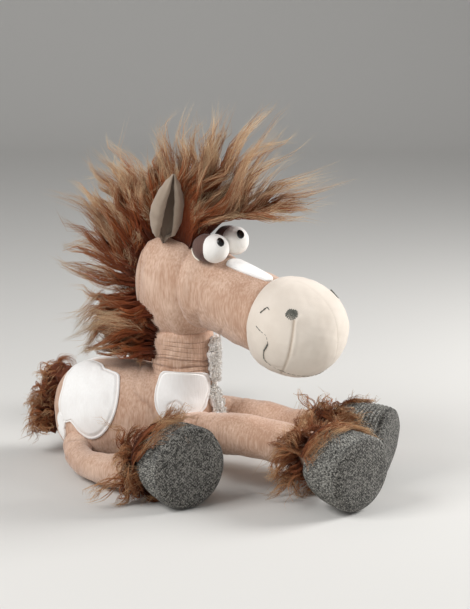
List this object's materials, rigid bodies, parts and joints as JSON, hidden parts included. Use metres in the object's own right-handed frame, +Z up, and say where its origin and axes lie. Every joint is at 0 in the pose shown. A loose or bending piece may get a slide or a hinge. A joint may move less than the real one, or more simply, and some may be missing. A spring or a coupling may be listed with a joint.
{
  "type": "plush horse",
  "caption": "Stuffed toy horse lying on its belly, legs stretched out and head turned aside, with a tousled mane, knitted hooves, and a neck, head, ears, tail and limbs that move.",
  "frame": {"origin": "middle of the flat under the belly, where the toy rests on the floor", "axes": "+X the way the body points, +Y the horse's left side, +Z up"},
  "size_m": [0.3556, 0.33, 0.3149],
  "materials": {
    "plush": "short velvety pile, beige brown",
    "white_plush": "short velvety pile, white",
    "fleece": "curly off-white pile",
    "suede": "smooth brushed fabric, cream",
    "ear_suede": "smooth brushed fabric, taupe",
    "lid": "smooth knitted fabric, dark brown",
    "eye": "smooth brushed fabric, off white",
    "pupil": "glossy black bead",
    "thread": "grey embroidery thread",
    "mane": "long tousled pile, auburn with blond tips",
    "knit": "ribbed wool knit, grey melange",
    "melange": "felted wool, grey melange"
  },
  "bodies": {
    "trunk": {"torso": "plush", "chest_fleece": "fleece", "flank_patch_right": "white_plush", "shoulder_patch_right": "white_plush", "flank_patch_left": "white_plush", "shoulder_patch_left": "white_plush"},
    "neck_stalk": {"neck": "plush", "neck_mane": "mane", "throat_fleece": "fleece"},
    "head_group": {"head": "plush", "snout": "plush", "muzzle": "suede", "head_mane": "mane", "blaze": "white_plush", "mouth_stitch": "thread", "eye_right": "eye", "pupil_right": "pupil", "eyelid_right": "lid", "nostril_right": "thread", "eye_left": "eye", "pupil_left": "pupil", "eyelid_left": "lid", "nostril_left": "thread"},
    "ear_right_flap": {"ear_right": "ear_suede"},
    "ear_left_flap": {"ear_left": "ear_suede"},
    "tail_tassel": {"tail": "mane"},
    "fore_limb_right": {"fore_leg_right": "plush"},
    "fore_foot_right": {"fore_cuff_right": "mane", "fore_hoof_right": "knit", "fore_sole_right": "melange"},
    "fore_limb_left": {"fore_leg_left": "plush"},
    "fore_foot_left": {"fore_cuff_left": "mane", "fore_hoof_left": "knit", "fore_sole_left": "melange"},
    "hind_limb_right": {"hind_leg_right": "plush"},
    "hind_foot_right": {"hind_cuff_right": "mane", "hind_hoof_right": "knit", "hind_sole_right": "melange"},
    "hind_limb_left": {"hind_leg_left": "plush"},
    "hind_foot_left": {"hind_cuff_left": "mane", "hind_hoof_left": "knit", "hind_sole_left": "melange"}
  },
  "joints": [
    {"name": "neck_lean", "type": "hinge", "parent": "trunk", "child": "neck_stalk", "pos_m": [0.043, 0, 0.0755], "axis": [0, -1, 0], "range_deg": [-10, 3], "stiffness_Nm_per_rad": 6, "springref_deg": 0.69},
    {"name": "head_turn", "type": "hinge", "parent": "neck_stalk", "child": "head_group", "pos_m": [0.043, 0, 0.0755], "axis": [0, 0, 1], "range_deg": [-25, 30], "stiffness_Nm_per_rad": 0.6},
    {"name": "ear_flop_right", "type": "hinge", "parent": "head_group", "child": "ear_right_flap", "pos_m": [0.03694, -0.02588, 0.19782], "axis": [0.9305, -0.3387, -0.1392], "range_deg": [0, 30], "stiffness_Nm_per_rad": 0.08},
    {"name": "ear_flop_left", "type": "hinge", "parent": "head_group", "child": "ear_left_flap", "pos_m": [0.05193, 0.01293, 0.20361], "axis": [-0.9305, 0.3387, 0.1392], "range_deg": [0, 30], "stiffness_Nm_per_rad": 0.08},
    {"name": "tail_lift", "type": "hinge", "parent": "trunk", "child": "tail_tassel", "pos_m": [-0.06482, 0, 0.07075], "axis": [0, 1, 0], "range_deg": [0, 35]},
    {"name": "shoulder_lift_right", "type": "hinge", "parent": "trunk", "child": "fore_limb_right", "pos_m": [0.062, -0.031, 0.043], "axis": [-0.5501, -0.8351, 0], "range_deg": [0, 14]},
    {"name": "fore_ankle_right", "type": "hinge", "parent": "fore_limb_right", "child": "fore_foot_right", "pos_m": [0.189, -0.05601, 0.038], "axis": [0, 0, 1], "range_deg": [-12, 12]},
    {"name": "shoulder_lift_left", "type": "hinge", "parent": "trunk", "child": "fore_limb_left", "pos_m": [0.062, 0.031, 0.043], "axis": [0.5501, -0.8351, 0], "range_deg": [0, 14]},
    {"name": "fore_ankle_left", "type": "hinge", "parent": "fore_limb_left", "child": "fore_foot_left", "pos_m": [0.18, 0.018, 0.038], "axis": [0, 0, 1], "range_deg": [-12, 12]},
    {"name": "hip_swing_right", "type": "hinge", "parent": "trunk", "child": "hind_limb_right", "pos_m": [-0.042, -0.035, 0.02], "axis": [0, 0, -1], "range_deg": [0, 60]},
    {"name": "hind_ankle_right", "type": "hinge", "parent": "hind_limb_right", "child": "hind_foot_right", "pos_m": [0.061, -0.087, 0.0345], "axis": [0, 0, 1], "range_deg": [-12, 12]},
    {"name": "hip_swing_left", "type": "hinge", "parent": "trunk", "child": "hind_limb_left", "pos_m": [-0.042, 0.035, 0.02], "axis": [0, 0, 1], "range_deg": [-63, 0]},
    {"name": "hind_ankle_left", "type": "hinge", "parent": "hind_limb_left", "child": "hind_foot_left", "pos_m": [-0.04158, 0.15038, 0.0345], "axis": [0, 0, 1], "range_deg": [-12, 12]}
  ]
}
